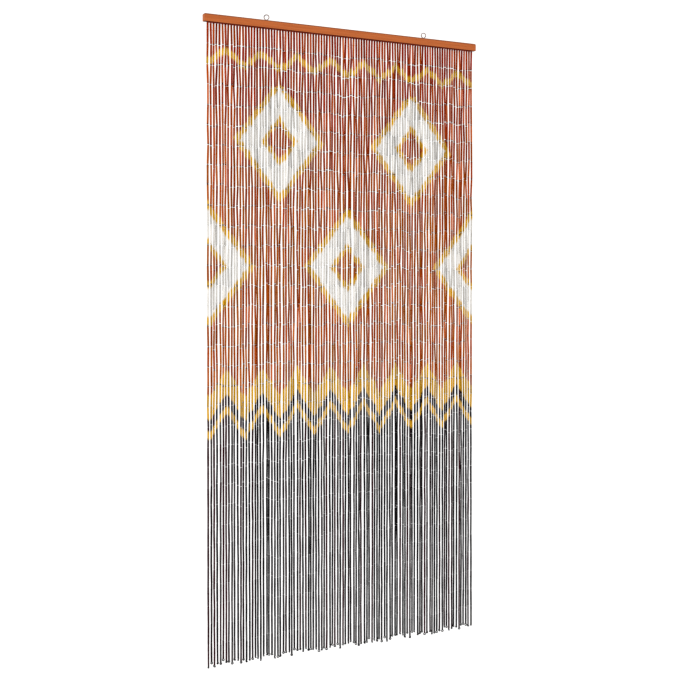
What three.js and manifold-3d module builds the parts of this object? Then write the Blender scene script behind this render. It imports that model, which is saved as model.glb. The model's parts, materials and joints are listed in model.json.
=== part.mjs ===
// Beaded door curtain: strands of bamboo tubes hung in a row from a wooden bar with two screw eyes.
// Millimetres. X runs along the bar, Y away from the viewer, Z up.
// The origin is the middle of the bar's top face.

import * as THREE from 'three';
import { mergeVertices } from 'three/addons/utils/BufferGeometryUtils.js';
import Module from 'manifold-3d';

const wasm = await Module();
wasm.setup();

// Overall
const curtainDrop = 2000; // bar top to the lowest strand end
const seatGap = 0.3; // between pieces that touch

// Header bar
const barLength = 990;
const barHeight = 24;
const barDepth = 15;
const barTopRadius = 4;
const barUnderRadius = 1;
const barEndRadius = 5; // top corners, seen from the front

// Screw eyes: the ring stands on the bar, turned a little to the viewer's left
const eyeOuterDiameter = 18;
const eyeWireDiameter = 2.8;
const shankDepth = 16;
const shankTip = 4;
const screwEyes = [
  { name: 'screw_eye_left', x: -285, turn: -24 },
  { name: 'screw_eye_right', x: 290, turn: -18 },
];

// Strands
const strandCount = 100;
const strandField = 969; // outer edge of the first strand to outer edge of the last
const strandSide = 5.3; // a square with the area of a round tube of 6 mm
const strandSteps = 6;
const strandEndSpread = 18; // how unevenly the strands end
const swayAcross = 2.1; // how far a strand hangs off its line, along the bar
const swayDeep = 2.5; // and through the curtain
const strandFlare = 5; // how much further out the outer strands end than they start
const railHeight = 2.6;
const railDepth = 6;

const strandPitch = (strandField - strandSide) / (strandCount - 1);
const barUnderside = -barHeight;
const railTop = barUnderside - seatGap;
const railMiddle = railTop - railHeight / 2;

const finishes = {
  barWood: new THREE.MeshStandardMaterial({ color: 0xc16a37, roughness: 0.55, metalness: 0 }),
  paintedBamboo: new THREE.MeshStandardMaterial({ color: 0x9a3a28, roughness: 0.6, metalness: 0 }),
  steelWire: new THREE.MeshStandardMaterial({ color: 0xb9b6b0, roughness: 0.35, metalness: 1 }),
};

// A closed three.js geometry as a solid, and back.
function toSolid(geometry) {
  geometry.deleteAttribute('normal');
  geometry.deleteAttribute('uv');
  const merged = mergeVertices(geometry, 1e-4);
  return new wasm.Manifold(new wasm.Mesh({
    numProp: 3,
    vertProperties: Float32Array.from(merged.attributes.position.array),
    triVerts: Uint32Array.from(merged.index.array),
  }));
}

function toGeometry(solid) {
  const { numProp, vertProperties, triVerts } = solid.getMesh();
  const geometry = new THREE.BufferGeometry();
  geometry.setAttribute('position', new THREE.BufferAttribute(vertProperties, numProp));
  geometry.setIndex(new THREE.BufferAttribute(triVerts, 1));
  geometry.computeVertexNormals();
  return geometry;
}

function namedMesh(name, solid, finish) {
  const mesh = new THREE.Mesh(toGeometry(solid), finish);
  mesh.name = name;
  return mesh;
}

// A rectangle hanging down from y = 0, with round corners.
function hangingPlate(width, height, topRadius, underRadius) {
  const side = width / 2;
  const plate = new THREE.Shape();
  plate.absarc(side - topRadius, -topRadius, topRadius, 0, Math.PI / 2);
  plate.absarc(topRadius - side, -topRadius, topRadius, Math.PI / 2, Math.PI);
  plate.absarc(underRadius - side, underRadius - height, underRadius, Math.PI, 1.5 * Math.PI);
  plate.absarc(side - underRadius, underRadius - height, underRadius, 1.5 * Math.PI, 2 * Math.PI);
  return plate;
}

function extruded(shape, depth) {
  const geometry = new THREE.ExtrudeGeometry(shape, { depth, bevelEnabled: false, curveSegments: 5 });
  return geometry.translate(0, 0, -depth / 2);
}

// An upright round bar from z = low to z = high.
function uprightRod(radius, tipRadius, low, high) {
  const rod = new THREE.CylinderGeometry(radius, tipRadius, high - low, 10);
  return rod.rotateX(Math.PI / 2).translate(0, 0, (low + high) / 2);
}

// The bar is its end profile cut to its front outline, so that edges and corners are both round.
function makeHeaderBar() {
  const profile = extruded(hangingPlate(barDepth, barHeight, barTopRadius, barUnderRadius), barLength);
  const alongBar = new THREE.Matrix4().makeBasis(
    new THREE.Vector3(0, 1, 0),
    new THREE.Vector3(0, 0, 1),
    new THREE.Vector3(1, 0, 0),
  );
  const outline = extruded(hangingPlate(barLength, barHeight, barEndRadius, barUnderRadius), barDepth + 2);
  outline.rotateX(Math.PI / 2);
  let bar = toSolid(profile.applyMatrix4(alongBar)).intersect(toSolid(outline));
  for (const eye of screwEyes) {
    const holeRadius = eyeWireDiameter / 2 + seatGap;
    const hole = uprightRod(holeRadius, holeRadius, -shankDepth - seatGap, 1);
    bar = bar.subtract(toSolid(hole.translate(eye.x, 0, 0)));
  }
  return bar;
}

// A closed wire ring with a pointed shank that is screwed down into the bar.
function makeScrewEye({ x, turn }) {
  const wire = eyeWireDiameter / 2;
  const ringRadius = eyeOuterDiameter / 2 - wire;
  const ring = new THREE.TorusGeometry(ringRadius, wire, 8, 24).rotateX(Math.PI / 2);
  ring.translate(0, 0, seatGap + wire + ringRadius);
  const shankLow = shankTip - shankDepth;
  const shank = uprightRod(wire, wire, shankLow, seatGap + wire);
  const point = uprightRod(wire, wire / 4, -shankDepth, shankLow);
  const eye = toSolid(ring).add(toSolid(shank)).add(toSolid(point));
  return eye.rotate(0, 0, turn).translate(x, 0, 0);
}

// Values from -1 to 1 that look random but are the same each time.
function spread(strand, key) {
  const n = strand + 1;
  return ((53 * n ** 3 + key * n ** 2 + 17 * n) % 1009) / 504 - 1;
}

// How far strand number `strand` hangs off its line, from -1 to 1, at `t` from 0 at its root to 1 at its end.
function sway(strand, t, key) {
  const settled = 1.25 * t / (t + 0.25);
  return settled * (0.75 * spread(strand, key) + 0.25 * Math.sin(5 * t + 6 * spread(strand, key + 9)));
}

class StrandLine extends THREE.Curve {
  constructor(strand) {
    super();
    this.strand = strand;
    this.rootX = (strand - (strandCount - 1) / 2) * strandPitch;
    this.endZ = -curtainDrop + strandEndSpread * (0.5 + 0.5 * spread(strand, 71));
  }

  getPoint(t, target = new THREE.Vector3()) {
    const flare = 1 + t * 2 * strandFlare / strandField;
    const x = this.rootX * flare + swayAcross * sway(this.strand, t, 5);
    const y = swayDeep * sway(this.strand, t, 31);
    return target.set(x, y, railMiddle + t * (this.endZ - railMiddle));
  }
}

// All the strands, fused at their roots into the narrow rail under the bar.
function makeBeadStrands() {
  const half = strandSide / 2;
  const section = new THREE.Shape([
    new THREE.Vector2(half, half),
    new THREE.Vector2(-half, half),
    new THREE.Vector2(-half, -half),
    new THREE.Vector2(half, -half),
  ]);
  const rail = new THREE.BoxGeometry(strandField, railDepth, railHeight).translate(0, 0, railMiddle);
  const solids = [toSolid(rail)];
  for (let strand = 0; strand < strandCount; strand += 1) {
    const line = new StrandLine(strand);
    const tube = new THREE.ExtrudeGeometry(section, { steps: strandSteps, extrudePath: line });
    solids.push(toSolid(tube));
  }
  return wasm.Manifold.union(solids);
}

const curtain = new THREE.Group();
curtain.add(namedMesh('header_bar', makeHeaderBar(), finishes.barWood));
for (const eye of screwEyes) {
  curtain.add(namedMesh(eye.name, makeScrewEye(eye), finishes.steelWire));
}
curtain.add(namedMesh('bead_strands', makeBeadStrands(), finishes.paintedBamboo));

export default curtain;
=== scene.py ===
import json
import math

import bmesh
import bpy
import numpy as np
from mathutils import Matrix, Vector

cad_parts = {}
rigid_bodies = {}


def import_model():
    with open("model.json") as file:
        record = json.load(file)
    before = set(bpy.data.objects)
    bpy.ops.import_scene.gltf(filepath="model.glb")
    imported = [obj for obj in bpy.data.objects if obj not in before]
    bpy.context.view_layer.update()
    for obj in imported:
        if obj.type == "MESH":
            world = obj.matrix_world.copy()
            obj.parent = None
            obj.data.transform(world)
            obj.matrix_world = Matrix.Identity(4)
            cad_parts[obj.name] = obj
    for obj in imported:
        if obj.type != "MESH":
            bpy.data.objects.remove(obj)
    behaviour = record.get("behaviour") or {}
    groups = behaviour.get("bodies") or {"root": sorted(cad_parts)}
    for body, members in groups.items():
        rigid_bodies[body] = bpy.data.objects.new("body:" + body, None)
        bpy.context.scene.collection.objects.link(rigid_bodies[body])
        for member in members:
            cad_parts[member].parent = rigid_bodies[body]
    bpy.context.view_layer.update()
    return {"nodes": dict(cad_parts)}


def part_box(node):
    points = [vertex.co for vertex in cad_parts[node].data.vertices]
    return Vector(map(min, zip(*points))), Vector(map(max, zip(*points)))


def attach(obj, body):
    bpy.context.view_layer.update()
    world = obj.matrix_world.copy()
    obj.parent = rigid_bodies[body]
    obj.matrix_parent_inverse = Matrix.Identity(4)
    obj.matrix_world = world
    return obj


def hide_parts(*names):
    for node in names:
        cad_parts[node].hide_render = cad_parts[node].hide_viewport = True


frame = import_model()
mm = 0.001
fullTurn = 6.28  # radians
print("frame loaded:", ", ".join(sorted(frame["nodes"])))


# Camera: left of the curtain, a little above the middle of its drop
cameraSettings = {
    "place": (-1.982, -3.5665, -0.8481),
    "turn": -28.742,  # degrees about Z, from looking along +Y
    "tilt": -2.067,  # degrees from level
    "roll": -0.024,
    "focalPixels": 1262.9,
    "framePixels": 680,
}


def makeCamera(s):
    data = bpy.data.cameras.new("viewpoint")
    data.sensor_width = 36
    data.lens = data.sensor_width * s["focalPixels"] / s["framePixels"]
    data.clip_start, data.clip_end = 0.1, 60
    camera = bpy.data.objects.new("viewpoint", data)
    turn = Matrix.Rotation(math.radians(s["turn"]), 4, "Z")
    tilt = Matrix.Rotation(math.radians(90 + s["tilt"]), 4, "X")
    roll = Matrix.Rotation(math.radians(s["roll"]), 4, "Z")
    camera.matrix_world = Matrix.Translation(s["place"]) @ turn @ tilt @ roll
    bpy.context.scene.collection.objects.link(camera)
    bpy.context.scene.camera = camera


makeCamera(cameraSettings)


# Small helpers for nodes and meshes
def addNode(tree, kind, feeds=None, **settings):
    node = tree.nodes.new(kind)
    for key, value in settings.items():
        setattr(node, key, value)
    for key, value in (feeds or {}).items():
        if isinstance(value, bpy.types.NodeSocket):
            tree.links.new(value, node.inputs[key])
        else:
            node.inputs[key].default_value = value
    return node


def calc(tree, operation, a, b=0.0):
    return addNode(tree, "ShaderNodeMath", {0: a, 1: b}, operation=operation).outputs[0]


def linear(tree, value, slope, start):
    return calc(tree, "ADD", start, calc(tree, "MULTIPLY", value, slope))


def stirred(tree, value, times):
    # turns one value from 0 to 1 into another that looks random beside it
    return calc(tree, "FRACT", calc(tree, "MULTIPLY", value, times))


def vectorOf(tree, x, y, z):
    return addNode(tree, "ShaderNodeCombineXYZ", {"X": x, "Y": y, "Z": z}).outputs[0]


def smoothStep(tree, value, low, high):
    # 0 up to low, 1 from high on, soft between them; low may be the larger
    feeds = {"Value": value, "From Min": low, "From Max": high}
    return addNode(tree, "ShaderNodeMapRange", feeds, interpolation_type="SMOOTHSTEP").outputs[0]


def blendColours(tree, share, first, second, blendType="MIX"):
    # the Mix node has a set of sockets for each kind of value; 6, 7 and 2 are the ones for colours
    feeds = {0: share, 6: first, 7: second}
    return addNode(tree, "ShaderNodeMix", feeds, data_type="RGBA", blend_type=blendType).outputs[2]


def colour(red, green, blue):
    # a colour picked as 0 to 255 screen values, for a shader
    channels = []
    for value in (red / 255, green / 255, blue / 255):
        channels.append(value / 12.92 if value <= 0.04045 else ((value + 0.055) / 1.055) ** 2.4)
    return (*channels, 1.0)


def newMaterial(name):
    material = bpy.data.materials.new(name)
    material.use_nodes = True
    tree = material.node_tree
    shader = tree.nodes["Principled BSDF"]
    return material, tree, shader


def attribute(tree, label):
    return addNode(tree, "ShaderNodeAttribute", attribute_name=label).outputs["Fac"]


def objectPlace(tree):
    where = addNode(tree, "ShaderNodeTexCoord").outputs["Object"]
    return addNode(tree, "ShaderNodeSeparateXYZ", {0: where}).outputs


def noise(tree, cellsPerMetre, detail, roughness=0.5):
    where = addNode(tree, "ShaderNodeTexCoord").outputs["Object"]
    stretched = addNode(tree, "ShaderNodeMapping", {"Vector": where, "Scale": cellsPerMetre}).outputs[0]
    feeds = {"Vector": stretched, "Scale": 1.0, "Detail": detail, "Roughness": roughness}
    return addNode(tree, "ShaderNodeTexNoise", feeds).outputs["Fac"]


def dress(tree, shader, look, rough, relief, s):
    # roughness follows one texture, and relief follows another
    feeds = {"Height": relief, "Strength": s["bump"], "Distance": s["bumpHeight"]}
    tree.links.new(look, shader.inputs["Base Color"])
    tree.links.new(linear(tree, rough, s["roughRise"], s["rough"]), shader.inputs["Roughness"])
    tree.links.new(addNode(tree, "ShaderNodeBump", feeds).outputs[0], shader.inputs["Normal"])


def addPiece(name, mesh, material=None):
    piece = bpy.data.objects.new(name, mesh)
    bpy.context.scene.collection.objects.link(piece)
    if material:
        mesh.materials.clear()
        mesh.materials.append(material)
    return piece


def pointValues(mesh, label, values):
    mesh.attributes.new(label, "FLOAT", "POINT").data.foreach_set("value", values)


def shadeSmooth(mesh):
    mesh.polygons.foreach_set("use_smooth", [True] * len(mesh.polygons))


def wireMesh(name, path, radius, sides, closed=False):
    # a round wire along a path, with blunt tips unless it closes on itself;
    # radius is one for all of it, or a list with one for each point
    points = [Vector(p) for p in path]
    count = len(points)
    widths = radius if isinstance(radius, list) else [radius] * count
    corners, faces = [], []
    side = None
    for i, point in enumerate(points):
        before = points[i - 1] if closed or i > 0 else point
        after = points[(i + 1) % count] if closed or i < count - 1 else point
        along = (after - before).normalized()
        if side is None:
            side = along.cross(Vector((0, 1, 0) if abs(along.y) < 0.9 else (1, 0, 0)))
        side = (side - along * side.dot(along)).normalized()
        other = along.cross(side)
        for k in range(sides):
            angle = 2 * math.pi * k / sides
            corners.append(point + widths[i] * (math.cos(angle) * side + math.sin(angle) * other))
    for i in range(count if closed else count - 1):
        a, b = i * sides, (i + 1) % count * sides
        for k in range(sides):
            n = (k + 1) % sides
            faces.append((a + k, a + n, b + n, b + k))
    if not closed:
        for end, inner in ((0, 1), (count - 1, count - 2)):
            out = (points[end] - points[inner]).normalized()
            corners.append(points[end] + out * widths[end] * 0.5)
            tip = len(corners) - 1
            for k in range(sides):
                n = (k + 1) % sides
                pair = (end * sides + k, end * sides + n)
                faces.append((*pair, tip) if end else (*reversed(pair), tip))
    mesh = bpy.data.meshes.new(name)
    mesh.from_pydata([tuple(c) for c in corners], [], faces)
    shadeSmooth(mesh)
    mesh.update()
    return mesh


def mergedCopy(node, name):
    mesh = frame["nodes"][node].data.copy()
    mesh.name = name
    form = bmesh.new()
    form.from_mesh(mesh)
    bmesh.ops.remove_doubles(form, verts=form.verts, dist=0.002 * mm)
    form.to_mesh(mesh)
    form.free()
    return mesh


# Where the strands hang: the same lines as the part's own strand solids follow
strandSettings = {
    "count": 100,
    "field": 969 * mm,  # outer edge of the first strand to outer edge of the last, at the bar
    "rod": 5.3 * mm,  # the solids' square section
    "railMiddle": 1.6 * mm,  # below the bar
    "drop": 2000 * mm,  # bar top to the lowest strand end
    "endSpread": 18 * mm,
    "swayAcross": 2.1 * mm,
    "swayDeep": 2.5 * mm,
    "flare": 5 * mm,  # how much further out the outer strands end than they start
    "acrossKey": 5,  # each key picks another row of values that look random
    "deepKey": 31,
    "endKey": 71,
}
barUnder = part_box("header_bar")[0].z


# The next four are the part's own formulas, so the numbers in them stay as they are there
def spread(strand, key):
    n = strand + 1
    return ((53 * n**3 + key * n**2 + 17 * n) % 1009) / 504 - 1


def sway(strand, t, key):
    settled = 1.25 * t / (t + 0.25)
    return settled * (0.75 * spread(strand, key) + 0.25 * math.sin(5 * t + 6 * spread(strand, key + 9)))


def strandEnd(strand, s=strandSettings):
    return -s["drop"] + s["endSpread"] * (0.5 + 0.5 * spread(strand, s["endKey"]))


def strandPoint(strand, z, s=strandSettings):
    top = barUnder - s["railMiddle"]
    t = max(0.0, (z - top) / (strandEnd(strand) - top))
    pitch = (s["field"] - s["rod"]) / (s["count"] - 1)
    rootX = (strand - (s["count"] - 1) / 2) * pitch
    x = rootX * (1 + t * 2 * s["flare"] / s["field"]) + s["swayAcross"] * sway(strand, t, s["acrossKey"])
    return Vector((x, s["swayDeep"] * sway(strand, t, s["deepKey"]), z))


# Joints: where one tube's wire loop hooks into the next one's
jointSettings = {
    "tubes": 32,  # in each strand
    "firstDrop": 2.5 * mm,  # below the bar
    "lastRise": 7.5 * mm,  # above the strand's end
    "rowWave": 2.6 * mm,  # neighbouring strands drift up and down together
    "waveSpan": 11,  # strands that share a drift
    "uneven": (1.2 * mm, 2.4 * mm),  # how much tubes differ in length, near the bar and at the foot
    "kink": (1.8 * mm, 1.3 * mm),  # how far joints stand off the strand's line, along the bar and across
    "kinkFade": 0.75,  # share of it that is gone at the foot
    "loose": (0.12, 0.6),  # middle and spread of how slack a run of neighbouring tubes hangs, 0 to 1
    "looseSpan": 5,  # strands in such a run
    "clearance": 6.6 * mm,  # between the middles of strands that lean on each other
    "sweeps": 12,  # rounds of pushing them that far apart
    "slip": 3.2 * mm,  # how far the painting is out of line from strand to strand
    "seed": 41,
}


def pushApart(joints, clearance, sweeps):
    # strands that lean on each other rest side by side
    for sweep in range(sweeps):
        between = joints[1:, :, :2] - joints[:-1, :, :2]
        apart = np.linalg.norm(between, axis=2, keepdims=True)
        push = between / apart * np.maximum(0, clearance - apart) * 0.5
        push[:, 0] = 0
        joints[1:, :, :2] += push
        joints[:-1, :, :2] -= push


def layOutJoints(s):
    random = np.random.default_rng(s["seed"])
    count, rows = strandSettings["count"], s["tubes"] + 1
    window = np.hanning(s["waveSpan"])
    wave = random.normal(size=count + s["waveSpan"] - 1)
    wave = np.convolve(wave, window / np.linalg.norm(window), "valid")
    share = np.linspace(0, 1, rows)
    joints = np.zeros((count, rows, 3))
    for strand in range(count):
        drift = np.cumsum(random.normal(size=rows) * np.interp(share, (0, 1), s["uneven"]))
        drift -= share * drift[-1]
        first = barUnder - s["firstDrop"]
        last = strandEnd(strand) + s["lastRise"]
        z = first + (last - first) * share
        z[1:-1] += s["rowWave"] * wave[strand] + drift[1:-1]
        kinks = random.uniform(-1, 1, (rows, 2)) * s["kink"]
        for k in range(rows):
            joints[strand, k] = strandPoint(strand, z[k])
            joints[strand, k, :2] += kinks[k] * (1 - s["kinkFade"] * share[k]) * (k > 0)
    pushApart(joints, s["clearance"], s["sweeps"])
    loose = random.normal(size=(count + s["looseSpan"] - 1, rows))
    loose = sum(loose[k : k + count] for k in range(s["looseSpan"])) / s["looseSpan"] ** 0.5
    loose = np.clip(s["loose"][0] + s["loose"][1] * loose, 0, 1) * (1 - share) * (share > 0)
    return [{
        "joints": [Vector(p) for p in joints[strand]],
        "loads": loose[strand].tolist(),
        "slip": s["slip"] * random.normal(),
        "shade": random.uniform(),
        "spin": random.uniform(0, 2 * math.pi),
    } for strand in range(count)]


strands = layOutJoints(jointSettings)


def lineMesh(name, group):
    # one edge for each tube, joint to joint, with what its nodes read
    points, edges, loads, slips, shades, spins, feet = [], [], [], [], [], [], []
    for strand in group:
        start = len(points)
        joints = strand["joints"]
        points += [tuple(p) for p in joints]
        edges += [(start + k, start + k + 1) for k in range(len(joints) - 1)]
        loads += strand["loads"]
        slips += [strand["slip"]] * len(joints)
        shades += [strand["shade"]] * len(joints)
        spins += [strand["spin"]] * len(joints)
        feet += [False] * (len(joints) - 2) + [True]
    mesh = bpy.data.meshes.new(name)
    mesh.from_pydata(points, edges, [])
    for label, values in (("load", loads), ("slip", slips), ("shade", shades), ("spin", spins)):
        pointValues(mesh, label, values)
    mesh.attributes.new("foot", "BOOLEAN", "EDGE").data.foreach_set("value", feet)
    return mesh


print("strands laid out:", len(strands), "with", jointSettings["tubes"], "tubes each")


# Bamboo tubes: one unit long and one unit across before they are scaled to place.
# Each row of a shape is how far up the tube and how wide there.
tubeShapes = {
    "tubeEven": [(0.0, 1.0), (1.0, 0.97)],
    "tubeFull": [(0.0, 0.95), (0.5, 1.04), (1.0, 0.98)],
    "tubeKnuckled": [(0.0, 0.96), (0.30, 0.99), (0.335, 1.1), (0.37, 0.99), (1.0, 0.94)],
    "tubeSlim": [(0.0, 0.94), (1.0, 0.9)],
    "tubeWaisted": [(0.0, 1.02), (0.45, 0.94), (1.0, 1.0)],
}
tubeSettings = {
    "sides": 10,
    "mouth": 0.66,  # end opening, as a share of the width
    "roundOff": 0.009,  # of the length, at each end
    "boreDepth": 0.05,
    "width": 6.4 * mm,
    "footWidth": 0.84,  # as a share of it, for the tubes at the foot
    "widthSpread": 0.05,
    "jointGap": 0.4 * mm,  # least distance from tube end to tube end
    "gapSpread": 4.8 * mm,  # most that is added to it, where the strand hangs slack
    "leastSlack": 0.3,  # share of a run's slack that each of its tubes has at least
    "mapColumns": 34,  # one cell for each tube on the map that its colours can be baked to
    "mapRows": 19,
    "mapFill": (0.92, 0.95),  # share of its cell that a tube takes up
    "mapMouth": 0.04,  # share of a tube's part of the map that is taken by each mouth's bore
    "mapRim": 0.07,  # and by bore and rim together
    "rimCut": 0.4,  # how cut the rim of a mouth looks, where its bore is 1
    "groups": 5,
    "seed": 7,
}


def tubeMesh(name, shape, s):
    sides, rim = s["sides"], s["roundOff"]
    rings = [(-0.5, 0.5 * s["mouth"] * shape[0][1], 0.0)]
    rings += [(rim - 0.5 + (1 - 2 * rim) * up, 0.5 * wide, up) for up, wide in shape]
    rings += [(0.5, 0.5 * s["mouth"] * shape[-1][1], 1.0)]
    points = [(0, 0, s["boreDepth"] - 0.5)]
    for z, radius, up in rings:
        for k in range(sides):
            angle = 2 * math.pi * k / sides
            points.append((radius * math.cos(angle), radius * math.sin(angle), z))
    points.append((0, 0, 0.5 - s["boreDepth"]))
    mouth, edge = s["mapMouth"], s["mapRim"]
    levels = [mouth] + [edge + (1 - 2 * edge) * up for up, wide in shape] + [1 - mouth]
    # one column of faces for each side, from the one bore to the other, with its corners' places on the map
    faces, places = [], []
    for k in range(sides):
        n = (k + 1) % sides
        u, v = k / sides, (k + 1) / sides
        faces.append((0, 1 + n, 1 + k))
        places += [((u + v) / 2, 0.0), (v, levels[0]), (u, levels[0])]
        for ring in range(len(rings) - 1):
            a, b = 1 + ring * sides, 1 + (ring + 1) * sides
            faces.append((a + k, a + n, b + n, b + k))
            places += [(u, levels[ring]), (v, levels[ring]), (v, levels[ring + 1]), (u, levels[ring + 1])]
        top = 1 + (len(rings) - 1) * sides
        faces.append((top + k, top + n, len(points) - 1))
        places += [(u, levels[-1]), (v, levels[-1]), ((u + v) / 2, 1.0)]
    mesh = bpy.data.meshes.new(name)
    mesh.from_pydata(points, [], faces)
    shadeSmooth(mesh)
    cutRim = [s["rimCut"]] * sides
    cut = [1.0] + cutRim + [0.0] * sides * len(shape) + cutRim + [1.0]
    along = [0.0] + [up for z, radius, up in rings for k in range(sides)] + [1.0]
    pointValues(mesh, "cut", cut)
    pointValues(mesh, "along", along)
    flat = [value for place in places for value in place]
    mesh.attributes.new("tubeMap", "FLOAT2", "CORNER").data.foreach_set("vector", flat)
    ends = {1 + k for k in range(sides)} | {len(points) - 2 - k for k in range(sides)}
    sharp = [set(e.vertices) <= ends for e in mesh.edges]
    mesh.attributes.new("sharp_edge", "BOOLEAN", "EDGE").data.foreach_set("value", sharp)
    mesh.update()
    return mesh


def groupTree(name, inputs):
    tree = bpy.data.node_groups.new(name, "GeometryNodeTree")
    tree.interface.new_socket("Geometry", in_out="INPUT", socket_type="NodeSocketGeometry")
    tree.interface.new_socket("Geometry", in_out="OUTPUT", socket_type="NodeSocketGeometry")
    for label, kind in inputs.items():
        tree.interface.new_socket(label, in_out="INPUT", socket_type="NodeSocket" + kind)
    return tree, addNode(tree, "NodeGroupInput").outputs


def endTree(tree, geometry, material):
    made = addNode(tree, "GeometryNodeRealizeInstances", {"Geometry": geometry}).outputs[0]
    made = addNode(tree, "GeometryNodeSetMaterial", {"Geometry": made, "Material": material}).outputs[0]
    addNode(tree, "NodeGroupOutput", {"Geometry": made})


def randomValue(tree, low, high, seed, whole=False):
    if whole:
        node = addNode(tree, "FunctionNodeRandomValue", {4: low, 5: high, "Seed": seed}, data_type="INT")
        return node.outputs[2]
    node = addNode(tree, "FunctionNodeRandomValue", {2: low, 3: high, "Seed": seed}, data_type="FLOAT")
    return node.outputs[1]


def named(tree, label, kind="FLOAT"):
    return addNode(tree, "GeometryNodeInputNamedAttribute", {"Name": label}, data_type=kind).outputs[0]


def store(tree, geometry, label, value, domain, kind):
    feeds = {"Geometry": geometry, "Name": label, "Value": value}
    return addNode(tree, "GeometryNodeStoreNamedAttribute", feeds, domain=domain, data_type=kind).outputs[0]


def vectorMath(tree, operation, a, b=None, scale=None):
    feeds = {0: a}
    if b is not None:
        feeds[1] = b
    if scale is not None:
        feeds["Scale"] = scale
    node = addNode(tree, "ShaderNodeVectorMath", feeds, operation=operation)
    return node.outputs["Value"] if operation == "LENGTH" else node.outputs[0]


def edgeRuns(tree, geometry):
    # the lines, and each edge's own vector kept on it: from its upper joint to its lower one
    ends = addNode(tree, "GeometryNodeInputMeshEdgeVertices").outputs
    run = vectorMath(tree, "SUBTRACT", ends["Position 2"], ends["Position 1"])
    keep = addNode(tree, "GeometryNodeCaptureAttribute", {"Geometry": geometry}, domain="EDGE")
    keep.capture_items.new("VECTOR", "Run")
    tree.links.new(run, keep.inputs[1])
    return keep.outputs[0], keep.outputs[1]


def instanceOf(tree, shape):
    return addNode(tree, "GeometryNodeObjectInfo", {"Object": shape, "As Instance": True}).outputs["Geometry"]


def turnedUpright(tree, angle):
    return addNode(tree, "FunctionNodeAxisAngleToRotation", {"Axis": (0, 0, 1), "Angle": angle}).outputs[0]


def alignedTo(tree, direction, spin):
    aligned = addNode(tree, "FunctionNodeAlignRotationToVector", {"Vector": direction}, axis="Z").outputs[0]
    feeds = {"Rotation": aligned, "Rotate By": turnedUpright(tree, spin)}
    return addNode(tree, "FunctionNodeRotateRotation", feeds, rotation_space="LOCAL").outputs[0]


def makeTubeTree(s):
    inputs = {
        "Tube Shapes": "Collection",
        "Tube Width": "Float",
        "Foot Width": "Float",
        "Drop": "Float",
        "Width Spread": "Float",
        "Joint Gap": "Float",
        "Gap Spread": "Float",
        "Least Slack": "Float",
        "Map Columns": "Int",
        "Map Rows": "Int",
        "Paint": "Material",
        "Seed": "Int",
    }
    tree, given = groupTree("tubesOnStrands", inputs)
    lines, run = edgeRuns(tree, given["Geometry"])
    points = addNode(tree, "GeometryNodeMeshToPoints", {"Mesh": lines}, mode="EDGES").outputs[0]
    feeds = {"Collection": given["Tube Shapes"], "Separate Children": True, "Reset Children": True}
    shapes = addNode(tree, "GeometryNodeCollectionInfo", feeds).outputs[0]
    seeds = [calc(tree, "ADD", given["Seed"], n) for n in range(5)]  # one for each random value below
    low = calc(tree, "SUBTRACT", 1.0, given["Width Spread"])
    high = calc(tree, "ADD", 1.0, given["Width Spread"])
    place = addNode(tree, "GeometryNodeInputPosition").outputs[0]
    height = addNode(tree, "ShaderNodeSeparateXYZ", {0: place}).outputs["Z"]
    down = calc(tree, "DIVIDE", calc(tree, "SUBTRACT", 0.0, height), given["Drop"])
    narrowing = calc(tree, "MULTIPLY", calc(tree, "SUBTRACT", 1.0, given["Foot Width"]), down)
    wide = calc(tree, "MULTIPLY", given["Tube Width"], calc(tree, "SUBTRACT", 1.0, narrowing))
    wide = calc(tree, "MULTIPLY", wide, randomValue(tree, low, high, seeds[0]))
    slack = randomValue(tree, given["Least Slack"], 1.0, seeds[1])
    slack = calc(tree, "MULTIPLY", slack, named(tree, "load"))
    gap = linear(tree, slack, given["Gap Spread"], given["Joint Gap"])
    long = calc(tree, "SUBTRACT", vectorMath(tree, "LENGTH", run), gap)
    feeds = {
        "Points": points,
        "Instance": shapes,
        "Pick Instance": True,
        "Instance Index": randomValue(tree, 0, len(tubeShapes) - 1, seeds[2], whole=True),
        "Rotation": alignedTo(tree, run, randomValue(tree, 0.0, fullTurn, seeds[3])),
        "Scale": vectorOf(tree, wide, wide, long),
    }
    tubes = addNode(tree, "GeometryNodeInstanceOnPoints", feeds).outputs[0]
    tubes = store(tree, tubes, "tone", randomValue(tree, 0.0, 1.0, seeds[4]), "INSTANCE", "FLOAT")
    index = addNode(tree, "GeometryNodeInputIndex").outputs[0]
    columns, rows = given["Map Columns"], given["Map Rows"]
    across = calc(tree, "DIVIDE", calc(tree, "MODULO", index, columns), columns)
    up = calc(tree, "DIVIDE", calc(tree, "FLOOR", calc(tree, "DIVIDE", index, columns)), rows)
    tubes = store(tree, tubes, "cell", vectorOf(tree, across, up, 0.0), "INSTANCE", "FLOAT_VECTOR")
    tubes = addNode(tree, "GeometryNodeRealizeInstances", {"Geometry": tubes}).outputs[0]
    cellWide = calc(tree, "DIVIDE", s["mapFill"][0], columns)
    cellHigh = calc(tree, "DIVIDE", s["mapFill"][1], rows)
    cell = vectorOf(tree, cellWide, cellHigh, 0.0)
    inCell = vectorMath(tree, "MULTIPLY", named(tree, "tubeMap", "FLOAT_VECTOR"), cell)
    place = vectorMath(tree, "ADD", inCell, named(tree, "cell", "FLOAT_VECTOR"))
    tubes = store(tree, tubes, "OFBake", place, "CORNER", "FLOAT2")
    for label in ("tubeMap", "cell"):
        tubes = addNode(tree, "GeometryNodeRemoveAttribute", {"Geometry": tubes, "Name": label}).outputs[0]
    endTree(tree, tubes, given["Paint"])
    return tree


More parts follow.
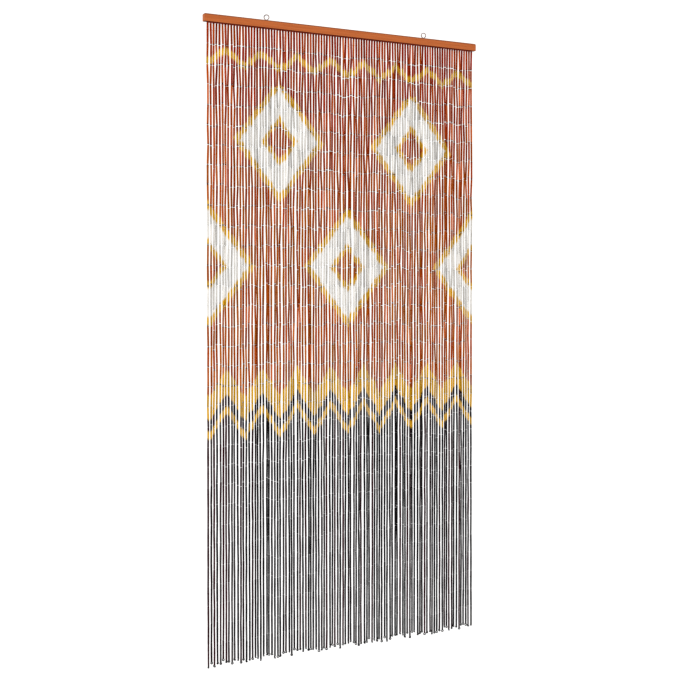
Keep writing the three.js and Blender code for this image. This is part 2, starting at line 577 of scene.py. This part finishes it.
# Wire loops: each tube has one at either end, at right angles to the loop it hooks into
loopSettings = {
    "radius": 1.0 * mm,  # to the middle of the wire
    "wire": 0.32 * mm,  # radius, as for every wire here
    "offset": 0.68 * mm,  # loop centre from the joint
    "stem": 3.2 * mm,  # straight wire that runs on into the tube
    "skew": 0.15,  # wire radii aside for each radian round the ring, so that its ends lie side by side
    "steps": 7,
    "sides": 4,
    "eyeSteps": 14,  # for the same eye in the strip under the bar
    "eyeSides": 6,
}


def loopPath(s):
    # a ring that closes at its upper side, where its stem goes on up
    path = [(0, 0, s["radius"] + s["stem"])]
    for k in range(s["steps"] + 1):
        angle = 2 * math.pi * k / s["steps"]
        aside = s["skew"] * s["wire"] * angle
        path.append((s["radius"] * math.sin(angle), aside, s["radius"] * math.cos(angle)))
    return path


def makeLoopTree():
    inputs = {"Loop": "Object", "Offset": "Float", "Wire": "Material"}
    tree, given = groupTree("loopsOnStrands", inputs)
    lines, run = edgeRuns(tree, given["Geometry"])
    loop = instanceOf(tree, given["Loop"])
    ends = addNode(tree, "GeometryNodeInputMeshEdgeVertices").outputs
    inward = vectorMath(tree, "SCALE", vectorMath(tree, "NORMALIZE", run), scale=given["Offset"])
    upper = vectorMath(tree, "ADD", ends["Position 1"], inward)
    lower = vectorMath(tree, "SUBTRACT", ends["Position 2"], inward)
    foot = named(tree, "foot", "BOOLEAN")
    notFoot = addNode(tree, "FunctionNodeBooleanMath", {0: foot}, operation="NOT").outputs[0]
    join = addNode(tree, "GeometryNodeJoinGeometry")
    for place, picked, away, turn in ((upper, True, 1, 0.0), (lower, notFoot, -1, math.pi / 2)):
        feeds = {"Mesh": lines, "Selection": picked, "Position": place}
        points = addNode(tree, "GeometryNodeMeshToPoints", feeds, mode="EDGES").outputs[0]
        spin = calc(tree, "MULTIPLY", calc(tree, "ADD", named(tree, "spin"), turn), away)
        intoTube = vectorMath(tree, "SCALE", run, scale=away)
        feeds = {"Points": points, "Instance": loop, "Rotation": alignedTo(tree, intoTube, spin)}
        tree.links.new(addNode(tree, "GeometryNodeInstanceOnPoints", feeds).outputs[0], join.inputs[0])
    endTree(tree, join.outputs[0], given["Wire"])
    return tree


def makeHangTree():
    # one object hung at each point, turned about the upright by that point's spin
    tree, given = groupTree("hungAtPoints", {"Piece": "Object", "Finish": "Material"})
    piece = instanceOf(tree, given["Piece"])
    feeds = {"Mesh": given["Geometry"]}
    points = addNode(tree, "GeometryNodeMeshToPoints", feeds, mode="VERTICES").outputs[0]
    feeds = {"Points": points, "Instance": piece, "Rotation": turnedUpright(tree, named(tree, "spin"))}
    hung = addNode(tree, "GeometryNodeInstanceOnPoints", feeds).outputs[0]
    endTree(tree, hung, given["Finish"])
    return tree


def growPiece(name, source, tree, values):
    # runs a node tree on a mesh and keeps the result as a plain one
    holder = addPiece(name + "Source", source)
    modifier = holder.modifiers.new("grow", "NODES")
    modifier.node_group = tree
    sockets = {s.name: s.identifier for s in tree.interface.items_tree if s.in_out == "INPUT"}
    for label, value in values.items():
        modifier[sockets[label]] = value
    holder.update_tag()
    bpy.context.view_layer.update()
    graph = bpy.context.evaluated_depsgraph_get()
    grown = holder.evaluated_get(graph)
    mesh = bpy.data.meshes.new_from_object(grown, preserve_all_data_layers=True, depsgraph=graph)
    mesh.name = name
    holder.modifiers.remove(modifier)
    bpy.data.objects.remove(holder)
    return addPiece(name, mesh)


# Painting: warm field with lozenges, a zigzag hem, and a dark field below.
# Heights are Object Z in metres, which is 0 at the bar's top.
paintColours = {
    "brick": colour(162, 50, 4),
    "rust": colour(180, 84, 8),
    "ochre": colour(182, 106, 20),
    "gold": colour(214, 170, 44),
    "cream": colour(226, 223, 218),
    "charcoal": colour(30, 27, 29),
    "plum": colour(66, 26, 34),
    "ash": colour(84, 80, 80),
    "faded": colour(224, 150, 108),
    "bareBamboo": colour(188, 148, 94),
    "scorched": colour(66, 18, 8),
    # painted shade inside the tubes' bores
    "boreShade": colour(40, 26, 18),
}
designSettings = {
    "fieldTop": -0.05,  # where the warm field is reddest
    "fieldFoot": -0.75,  # and where it is most orange
    "repeatAcross": 0.4845,  # from one lozenge to the next in its row
    "repeatDown": 0.78,  # twice the way from one row to the next
    "firstRow": -0.37,
    "firstHeight": -0.20,  # there are lozenges only between these two heights
    "lastHeight": -0.96,
    "halfWidth": 0.135,  # of a lozenge's cream part
    "halfHeight": 0.165,
    "rim": 1.17,  # its gold rim's size, heart and heart's rim, as shares of that part
    "heart": 0.34,
    "heartRim": 0.47,
    "soft": 0.035,  # how blurred its edges are
    "zigzag": 0.0606,  # half a zigzag's length
    "zigzagRise": 0.045,
    "hem": -1.12,
    "hemBand": 0.075,  # height of the broad gold band
    "secondBand": (0.11, 0.135),  # where the thin one begins and ends, below the hem
    "topLine": -0.125,  # the thin zigzag under the bar
    "topLineRise": 0.5,  # as a share of the hem's
    "topLineHalf": 0.011,
    "edge": 0.005,  # how blurred the zigzags' edges are
}
paintSettings = {
    # spans of tone (one value from 0 to 1 for each tube) or shade (one for each strand);
    # the stirs make further such values out of them
    "mixStir": 7.31,
    "rustFrom": (0.2, 1.0),  # between brick and rust, in the upper field
    "ochreFrom": (0.0, 0.9),  # between rust and ochre, in the lower field
    "fadedTubes": (0.88, 1.0),
    "fadedTubeShare": 0.4,
    "fadedStrands": (0.9, 1.0),
    "fadedStrandShare": 0.2,
    "plumFrom": (0.62, 0.95),  # between charcoal and plum, in the dark field
    "ashStir": 5.3,
    "ashTone": 0.35,
    "ashFrom": (0.95, 1.25),
    # how much brighter tone and shade make the paint, and where it starts
    "toneLift": 0.4,
    "shadeLift": 0.2,
    "leastLift": 0.62,
    # fibres and blotches, in cells per metre
    "fibres": (900, 900, 14),
    "blotches": (60, 60, 25),
    "streakSpan": (0.35, 0.62),
    "streak": (0.62, 0.6, 0.58, 1),
    "streakShare": 0.6,
    # the ends: scorched up to some share of the tube's length, then cut
    "cleanSpan": 0.15,  # below the hem, metres in which scorched and cut ends give way to clean ones
    "scorchRagged": 0.04,
    "scorchSpan": (0.07, 0.03),
    "scorchStir": 13.7,
    "scorchedTubes": (0.45, 0.6),
    "scorchShare": 0.75,
    "caneSpan": (0.15, 0.4),
    "caneShare": 0.4,
    "boreShadeSpan": (0.4, 0.8),
    "rough": 0.52,
    "roughRise": 0.25,
    "bump": 0.35,
    "bumpHeight": 0.12 * mm,
    "specular": 0.1,
}


def lozengeField(tree, x, z, d):
    # how far a place is from the nearest lozenge's middle, 1 at its edge, and where there are any;
    # they stand in two staggered rows
    across = calc(tree, "PINGPONG", x, d["repeatAcross"] / 2)
    fromRow = calc(tree, "SUBTRACT", z, d["firstRow"])
    down = calc(tree, "PINGPONG", fromRow, d["repeatDown"] / 2)
    otherAcross = calc(tree, "SUBTRACT", d["repeatAcross"] / 2, across)
    otherDown = calc(tree, "SUBTRACT", d["repeatDown"] / 2, down)
    distances = []
    for sideways, upright in ((otherAcross, down), (across, otherDown)):
        a = calc(tree, "DIVIDE", sideways, d["halfWidth"])
        distances.append(calc(tree, "ADD", a, calc(tree, "DIVIDE", upright, d["halfHeight"])))
    distance = calc(tree, "MINIMUM", distances[0], distances[1])
    underFirst = calc(tree, "LESS_THAN", z, d["firstHeight"])
    overLast = calc(tree, "GREATER_THAN", z, d["lastHeight"])
    return distance, calc(tree, "MULTIPLY", underFirst, overLast)


def inLozenge(tree, field, limit, d):
    distance, inRows = field
    mask = smoothStep(tree, distance, limit + d["soft"], limit - d["soft"])
    return calc(tree, "MULTIPLY", mask, inRows)


def paleRing(tree, field, d):
    # the cream part of a lozenge, between its rim and its heart
    return calc(tree, "SUBTRACT", inLozenge(tree, field, 1.0, d), inLozenge(tree, field, d["heartRim"], d))


def warmPaint(tree, z, tone, shade, c, d, s):
    mixed = stirred(tree, tone, s["mixStir"])
    upper = blendColours(tree, smoothStep(tree, mixed, *s["rustFrom"]), c["brick"], c["rust"])
    lower = blendColours(tree, smoothStep(tree, mixed, *s["ochreFrom"]), c["rust"], c["ochre"])
    warm = blendColours(tree, smoothStep(tree, z, d["fieldTop"], d["fieldFoot"]), upper, lower)
    faded = calc(tree, "MULTIPLY", smoothStep(tree, tone, *s["fadedTubes"]), s["fadedTubeShare"])
    faded = linear(tree, smoothStep(tree, shade, *s["fadedStrands"]), s["fadedStrandShare"], faded)
    return blendColours(tree, faded, warm, c["faded"])


def darkPaint(tree, tone, shade, c, s):
    dark = blendColours(tree, smoothStep(tree, shade, *s["plumFrom"]), c["charcoal"], c["plum"])
    grey = linear(tree, tone, s["ashTone"], stirred(tree, shade, s["ashStir"]))
    return blendColours(tree, smoothStep(tree, grey, *s["ashFrom"]), dark, c["ash"])


def zigzagWave(tree, x, d):
    # up and down along X, from minus to plus the zigzag's rise
    wave = calc(tree, "DIVIDE", calc(tree, "PINGPONG", x, d["zigzag"]), d["zigzag"])
    return calc(tree, "MULTIPLY", calc(tree, "SUBTRACT", wave, 0.5), 2 * d["zigzagRise"])


def paintDesign(tree, x, z, warm, dark, c, d):
    # lozenges, from the rim inwards
    field = lozengeField(tree, x, z, d)
    rings = ((d["rim"], c["gold"]), (1.0, c["cream"]), (d["heartRim"], c["gold"]), (d["heart"], warm))
    paint = warm
    for limit, inside in rings:
        paint = blendColours(tree, inLozenge(tree, field, limit, d), paint, inside)

    # zigzags: one thin line under the bar, a broad band and a thin one at the dark field's edge
    wave = zigzagWave(tree, x, d)
    fromLine = calc(tree, "SUBTRACT", calc(tree, "SUBTRACT", z, d["topLine"]),
                    calc(tree, "MULTIPLY", wave, d["topLineRise"]))
    line = smoothStep(tree, calc(tree, "ABSOLUTE", fromLine),
                      d["topLineHalf"] + d["edge"], d["topLineHalf"] - d["edge"])
    paint = blendColours(tree, line, paint, c["gold"])
    below = calc(tree, "SUBTRACT", calc(tree, "ADD", wave, d["hem"]), z)
    start, end = d["secondBand"]
    for depth, over in ((0.0, c["gold"]), (d["hemBand"], dark), (start, c["gold"]), (end, dark)):
        past = smoothStep(tree, below, depth - d["edge"], depth + d["edge"])
        paint = blendColours(tree, past, paint, over)
    return paint, paleRing(tree, field, d)


def tubeEnds(tree, paint, tone, blotches, bare, c, s):
    # some tubes are scorched at their ends, bare cane shows where they are cut, and the bore is painted dark
    # as shade
    along = attribute(tree, "along")
    cut = attribute(tree, "cut")
    fromEnd = calc(tree, "MINIMUM", along, calc(tree, "SUBTRACT", 1.0, along))
    scorched = smoothStep(tree, linear(tree, blotches, s["scorchRagged"], fromEnd), *s["scorchSpan"])
    picked = smoothStep(tree, stirred(tree, tone, s["scorchStir"]), *s["scorchedTubes"])
    scorched = calc(tree, "MULTIPLY", calc(tree, "MULTIPLY", scorched, picked), bare)
    paint = blendColours(tree, calc(tree, "MULTIPLY", scorched, s["scorchShare"]), paint, c["scorched"])
    cane = calc(tree, "MULTIPLY", smoothStep(tree, cut, *s["caneSpan"]), bare)
    paint = blendColours(tree, calc(tree, "MULTIPLY", cane, s["caneShare"]), paint, c["bareBamboo"])
    # painted shade in the bore
    return blendColours(tree, smoothStep(tree, cut, *s["boreShadeSpan"]), paint, c["boreShade"])


def paintedBamboo(c, d, s):
    material, tree, shader = newMaterial("paintedBamboo")
    place = objectPlace(tree)
    tone = attribute(tree, "tone")
    shade = attribute(tree, "shade")
    z = calc(tree, "ADD", place["Z"], attribute(tree, "slip"))
    warm = warmPaint(tree, z, tone, shade, c, d, s)
    dark = darkPaint(tree, tone, shade, c, s)
    paint, pale = paintDesign(tree, place["X"], z, warm, dark, c, d)
    # every strand and tube took the paint a little differently
    lift = linear(tree, shade, s["shadeLift"], calc(tree, "MULTIPLY", tone, s["toneLift"]))
    feeds = {"Color": paint, "Value": calc(tree, "ADD", lift, s["leastLift"])}
    paint = addNode(tree, "ShaderNodeHueSaturation", feeds).outputs[0]
    fibres = noise(tree, s["fibres"], detail=4)
    blotches = noise(tree, s["blotches"], detail=2)
    streak = blendColours(tree, smoothStep(tree, fibres, *s["streakSpan"]), s["streak"], (1, 1, 1, 1))
    paint = blendColours(tree, s["streakShare"], paint, streak, "MULTIPLY")
    # in the cream and in the dark field the paint has run over the tubes' ends
    bare = smoothStep(tree, place["Z"], d["hem"] - s["cleanSpan"], d["hem"])
    bare = calc(tree, "MULTIPLY", bare, calc(tree, "SUBTRACT", 1.0, pale))
    paint = tubeEnds(tree, paint, tone, blotches, bare, c, s)
    dress(tree, shader, paint, blotches, fibres, s)
    shader.inputs["Specular IOR Level"].default_value = s["specular"]
    return material


# Wire: the painter's spray has reached the links in the cream and in the dark field
linkColours = {
    "steel": (0.27, 0.24, 0.23, 1),
    "tarnish": (0.09, 0.07, 0.06, 1),
    "sprayed": colour(24, 20, 21),
    "sprayedPale": colour(132, 128, 123),
}
eyeColours = {
    "steel": (0.40, 0.32, 0.29, 1),
    "tarnish": (0.17, 0.12, 0.10, 1),
}
wireSettings = {
    "patches": (110, 110, 110),  # of tarnish, in cells per metre
    "tarnishSpan": (0.46, 0.56),
    "spraySpan": (0.05, 0.12),  # below the hem, where the dark spray begins and where it covers all
    "rough": 0.36,
    "roughRise": 0.25,
    "bump": 0.15,
    "bumpHeight": 0.05 * mm,
}


def drawnWire(name, c, d, s):
    material, tree, shader = newMaterial(name)
    patches = noise(tree, s["patches"], detail=3)
    look = blendColours(tree, smoothStep(tree, patches, *s["tarnishSpan"]), c["steel"], c["tarnish"])
    if "sprayed" in c:
        place = objectPlace(tree)
        pale = paleRing(tree, lozengeField(tree, place["X"], place["Z"], d), d)
        start, end = s["spraySpan"]
        dark = smoothStep(tree, place["Z"], d["hem"] - start, d["hem"] - end)
        look = blendColours(tree, pale, look, c["sprayedPale"])
        look = blendColours(tree, dark, look, c["sprayed"])
        bare = calc(tree, "SUBTRACT", 1.0, calc(tree, "MAXIMUM", pale, dark))
        tree.links.new(bare, shader.inputs["Metallic"])
    else:
        shader.inputs["Metallic"].default_value = 1
    dress(tree, shader, look, patches, patches, s)
    return material


# Header bar and the strip under it: stained softwood, grain along its length
woodSettings = {
    "stain": colour(192, 116, 64),
    "deepStain": colour(181, 105, 55),
    "pore": colour(142, 76, 38),
    # painted shade: the bar's underside is darker, where shadow falls
    "under": colour(98, 42, 18),
    "underSpan": (0.8 * mm, 0.1 * mm),  # above the underside, where the painted shade there begins and is full
    "edge": colour(128, 70, 36),  # painted shade: darker along the round upper edges
    "edgeShadeSpan": (-4.4 * mm, -2.6 * mm),  # heights where that begins and is full
    "topSpan": (-0.1 * mm, -0.5 * mm),  # and where the top's own stain gives way to it
    "edgeShadeShare": 0.8,
}
# the strip's dark stain is partly its own colour and partly painted shade, for the shadow under the bar
stripSettings = {
    "stain": colour(147, 46, 18),
    "deepStain": colour(128, 38, 14),
    "pore": colour(78, 26, 12),
    "height": 2.6 * mm,
    "depth": 6 * mm,
    "below": 0.05 * mm,  # its top from the bar's underside
    "roundOff": 0.7 * mm,
}
grainSettings = {
    "drift": (2, 20, 20),  # in cells per metre
    "grain": (5, 170, 170),
    "pores": (30, 1400, 1400),
    "grainSpan": (0.38, 0.66),
    "poreSpan": (0.6, 0.75),
    "poreShare": 0.3,
    "leastBright": 0.92,
    "driftLift": 0.16,
    "rough": 0.42,
    "roughRise": 0.2,
    "bump": 0.2,
    "bumpHeight": 0.08 * mm,
    "specular": 0.3,
}


def stainedWood(name, s, g):
    material, tree, shader = newMaterial(name)
    drift = noise(tree, g["drift"], detail=2)
    grain = noise(tree, g["grain"], detail=5, roughness=0.6)
    pores = noise(tree, g["pores"], detail=2)
    wood = blendColours(tree, smoothStep(tree, grain, *g["grainSpan"]), s["stain"], s["deepStain"])
    pitted = calc(tree, "MULTIPLY", smoothStep(tree, pores, *g["poreSpan"]), g["poreShare"])
    wood = blendColours(tree, pitted, wood, s["pore"])
    if "edge" in s:
        height = objectPlace(tree)["Z"]
        # painted shade along the bar's underside
        start, full = s["underSpan"]
        under = smoothStep(tree, height, barUnder + start, barUnder + full)
        wood = blendColours(tree, under, wood, s["under"])
        # painted shade along the round upper edges
        edgeShadeRising = smoothStep(tree, height, *s["edgeShadeSpan"])
        edge = calc(tree, "MULTIPLY", edgeShadeRising, smoothStep(tree, height, *s["topSpan"]))
        wood = blendColours(tree, calc(tree, "MULTIPLY", edge, s["edgeShadeShare"]), wood, s["edge"])
    feeds = {"Color": wood, "Value": linear(tree, drift, g["driftLift"], g["leastBright"])}
    wood = addNode(tree, "ShaderNodeHueSaturation", feeds).outputs[0]
    dress(tree, shader, wood, grain, pores, g)
    shader.inputs["Specular IOR Level"].default_value = g["specular"]
    return material


def makeHeaderBar(finish):
    mesh = mergedCopy("header_bar", "stainedBar")
    shadeSmooth(mesh)
    mesh.set_sharp_from_angle(angle=math.radians(32))  # sharper folds than this stay crisp
    bar = addPiece("stained_bar", mesh, finish)
    bar.modifiers.new("evenShading", "WEIGHTED_NORMAL").keep_sharp = True
    return bar


def makeStrip(finish, s):
    size = Vector((strandSettings["field"], s["depth"], s["height"]))
    middle = Vector((0, 0, barUnder - s["below"] - s["height"] / 2))
    form = bmesh.new()
    bmesh.ops.create_cube(form, size=1, matrix=Matrix.LocRotScale(middle, None, size))
    bmesh.ops.bevel(form, geom=form.edges, offset=s["roundOff"], segments=3, profile=0.5, affect="EDGES")
    mesh = bpy.data.meshes.new("strip")
    form.to_mesh(mesh)
    form.free()
    shadeSmooth(mesh)
    strip = addPiece("hanging_strip", mesh, finish)
    strip.modifiers.new("evenShading", "WEIGHTED_NORMAL")
    return strip


# Screw eyes: one wire, pointed and threaded below, bent into a ring above
eyeSettings = {
    "wire": 1.4 * mm,
    "ringRadius": 7.6 * mm,
    "turns": {"screw_eye_left": -24, "screw_eye_right": -18},  # degrees about the upright
    "opening": 24,  # degrees either side of the neck where the ring stays open
    "neckFoot": 2.4 * mm,  # below the ring, where the wire leaves the upright
    "neckBend": 0.2 * mm,  # below the ring, what its bend is drawn towards
    "neckSteps": 8,
    "collar": 3 * mm,  # straight wire below the neck's foot
    "tipLength": 4 * mm,
    "tipWidth": 0.25,  # as a share of the wire's
    "threadPitch": 1.2 * mm,
    "threadRise": 0.24 * mm,
    "threadSteps": 14,
    "threadSides": 6,
    "ringSteps": 56,
    "sides": 14,
}


def makeScrewEye(node, name, finish, s):
    low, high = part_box(node)
    ringMiddle = high.z - s["wire"] - s["ringRadius"]
    start = math.radians(s["opening"] - 90)
    turn = math.radians(360 - 2 * s["opening"])
    radius = s["ringRadius"]

    def onRing(angle):
        return Vector((radius * math.cos(angle), 0, ringMiddle + radius * math.sin(angle)))

    joint = onRing(start)
    neckFoot = Vector((0, 0, ringMiddle - radius - s["neckFoot"]))
    bend = Vector((0, 0, ringMiddle - radius - s["neckBend"]))
    tip = Vector((0, 0, low.z))
    path = [tip, tip + Vector((0, 0, s["tipLength"])), neckFoot - Vector((0, 0, s["collar"])), neckFoot]
    for k in range(1, s["neckSteps"]):
        t = k / s["neckSteps"]
        path.append((1 - t) ** 2 * neckFoot + 2 * t * (1 - t) * bend + t * t * joint)
    path += [onRing(start + turn * k / s["ringSteps"]) for k in range(s["ringSteps"] + 1)]
    widths = [s["tipWidth"] * s["wire"]] + [s["wire"]] * (len(path) - 1)
    turns = int((neckFoot.z - low.z - s["tipLength"]) / s["threadPitch"])
    coil = []
    for k in range(turns * s["threadSteps"] + 1):
        angle = 2 * math.pi * k / s["threadSteps"]
        z = low.z + s["tipLength"] + s["threadPitch"] * k / s["threadSteps"]
        coil.append((s["wire"] * math.cos(angle), s["wire"] * math.sin(angle), z))
    joined = bmesh.new()
    joined.from_mesh(wireMesh("ring", path, widths, s["sides"]))
    joined.from_mesh(wireMesh("thread", coil, s["threadRise"], s["threadSides"]))
    mesh = bpy.data.meshes.new(name)
    joined.to_mesh(mesh)
    joined.free()
    middle = Vector(((low.x + high.x) / 2, 0, 0))
    mesh.transform(Matrix.Translation(middle) @ Matrix.Rotation(math.radians(s["turns"][node]), 4, "Z"))
    return addPiece(name, mesh, finish)


paintFinish = paintedBamboo(paintColours, designSettings, paintSettings)
wireFinish = drawnWire("drawnWire", linkColours, designSettings, wireSettings)
eyeFinish = drawnWire("eyeWire", eyeColours, designSettings, wireSettings)
print("finishes made")

bar = makeHeaderBar(stainedWood("stainedWood", woodSettings, grainSettings))
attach(bar, "root")
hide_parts("header_bar")
strip = makeStrip(stainedWood("stripStainAndShade", stripSettings, grainSettings), stripSettings)
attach(strip, "root")
for node, name in (("screw_eye_left", "wire_eye_left"), ("screw_eye_right", "wire_eye_right")):
    eye = makeScrewEye(node, name, eyeFinish, eyeSettings)
    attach(eye, "root")
    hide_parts(node)
print("bar and screw eyes made")

# Tubes and loops, in groups of strands
shapesBin = bpy.data.collections.new("tubeShapes")
for name, shape in tubeShapes.items():
    shapesBin.objects.link(bpy.data.objects.new(name, tubeMesh(name, shape, tubeSettings)))
loopMesh = wireMesh("loop", loopPath(loopSettings), loopSettings["wire"], loopSettings["sides"])
loop = bpy.data.objects.new("loop", loopMesh)
tubeTree = makeTubeTree(tubeSettings)
loopTree = makeLoopTree()
hangTree = makeHangTree()
perGroup = len(strands) // tubeSettings["groups"]
for number in range(tubeSettings["groups"]):
    group = strands[number * perGroup : (number + 1) * perGroup]
    tubes = growPiece(f"bamboo_tubes_{number + 1}", lineMesh("lines", group), tubeTree, {
        "Tube Shapes": shapesBin,
        "Tube Width": tubeSettings["width"],
        "Foot Width": tubeSettings["footWidth"],
        "Drop": strandSettings["drop"],
        "Width Spread": tubeSettings["widthSpread"],
        "Joint Gap": tubeSettings["jointGap"],
        "Gap Spread": tubeSettings["gapSpread"],
        "Least Slack": tubeSettings["leastSlack"],
        "Map Columns": tubeSettings["mapColumns"],
        "Map Rows": tubeSettings["mapRows"],
        "Paint": paintFinish,
        "Seed": tubeSettings["seed"] + 10 * number,
    })
    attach(tubes, "root")
    if number == 0:
        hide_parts("bead_strands")
    links = growPiece(f"wire_links_{number + 1}", lineMesh("lines", group), loopTree, {
        "Loop": loop, "Offset": loopSettings["offset"], "Wire": wireFinish,
    })
    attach(links, "root")
    print("group", number + 1, "tubes", len(tubes.data.polygons), "links", len(links.data.polygons), "faces")

# Wire eyes in the strip's underside, and the curl that ends each strand
curlSettings = {
    "radius": 3.0 * mm,
    "wire": 1.25 * mm,
    "rise": 4 * mm,  # how far its wire runs up into the last tube
    "turns": 1.7,
    "spread": 3.4 * mm,  # from its first turn to its last
    "stepsPerTurn": 12,
    "sides": 6,
}


def pointMesh(name, places, spins):
    mesh = bpy.data.meshes.new(name)
    mesh.from_pydata([tuple(p) for p in places], [], [])
    pointValues(mesh, "spin", spins)
    return mesh


def curlMesh(s):
    radius = s["radius"]
    path = [(0, 0, s["rise"]), (0, 0, s["rise"] / 3)]
    steps = int(s["stepsPerTurn"] * s["turns"])
    for k in range(steps + 1):
        angle = math.pi / 2 + 2 * math.pi * s["turns"] * k / steps
        away = s["spread"] * (k / steps - 0.5)
        path.append((radius * math.cos(angle), away, radius * (math.sin(angle) - 1)))
    return wireMesh("curl", path, s["wire"], s["sides"])


def barEyeMesh(s):
    # a closed wire eye whose top is sunk in the strip
    path = []
    for k in range(s["eyeSteps"]):
        angle = 2 * math.pi * k / s["eyeSteps"]
        path.append((s["radius"] * math.cos(angle), 0, s["radius"] * math.sin(angle)))
    return wireMesh("barEye", path, s["wire"], s["eyeSides"], closed=True)


def hangAll(name, shape, places, spins):
    holder = bpy.data.objects.new(name + "Shape", shape)
    values = {"Piece": holder, "Finish": wireFinish}
    piece = growPiece(name, pointMesh("places", places, spins), hangTree, values)
    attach(piece, "root")


barEyePlaces = [s["joints"][0] + Vector((0, 0, loopSettings["offset"])) for s in strands]
barEyeSpins = [s["spin"] + math.pi / 2 for s in strands]
hangAll("bar_wire_eyes", barEyeMesh(loopSettings), barEyePlaces, barEyeSpins)
feet = [s["joints"][-1] for s in strands]
hangAll("strand_end_curls", curlMesh(curlSettings), feet, [s["spin"] for s in strands])
for shape in list(shapesBin.objects):
    bpy.data.objects.remove(shape)
bpy.data.collections.remove(shapesBin)
print("wire eyes and end curls made")


# Floor, lights and background: a bright white studio
stageSettings = {
    "floor": -2.6,
    "floorSize": 16,
    "floorColour": (0.98, 0.98, 0.98, 1),
    "sky": 1.12,
    "gamma": 0.77,  # of the view, which makes up for thin strands that average too pale
}
keyLightSettings = {
    "place": (-3.2, -3.6, 1.6),
    "target": (0, 0, -0.9),
    "size": 2.2,
    "power": 26,
}


def makeStage(s):
    material, tree, shader = newMaterial("paleFloor")
    shader.inputs["Base Color"].default_value = s["floorColour"]
    shader.inputs["Roughness"].default_value = 0.9
    half = s["floorSize"] / 2
    corners = [(x * half, y * half, s["floor"]) for x, y in ((-1, -1), (1, -1), (1, 1), (-1, 1))]
    mesh = bpy.data.meshes.new("floor")
    mesh.from_pydata(corners, [], [(0, 1, 2, 3)])
    addPiece("floor", mesh, material)
    world = bpy.data.worlds.new("studio")
    world.use_nodes = True
    background = world.node_tree.nodes["Background"]
    background.inputs["Color"].default_value = (1, 1, 1, 1)
    background.inputs["Strength"].default_value = s["sky"]
    bpy.context.scene.world = world
    bpy.context.scene.view_settings.view_transform = "Standard"
    bpy.context.scene.view_settings.gamma = s["gamma"]


def addSoftLight(name, s):
    data = bpy.data.lights.new(name, "AREA")
    data.size, data.energy = s["size"], s["power"]
    lamp = bpy.data.objects.new(name, data)
    lamp.location = s["place"]
    away = Vector(s["target"]) - Vector(s["place"])
    lamp.rotation_euler = away.to_track_quat("-Z", "Y").to_euler()
    bpy.context.scene.collection.objects.link(lamp)


makeStage(stageSettings)
addSoftLight("keyLight", keyLightSettings)
print("stage set")
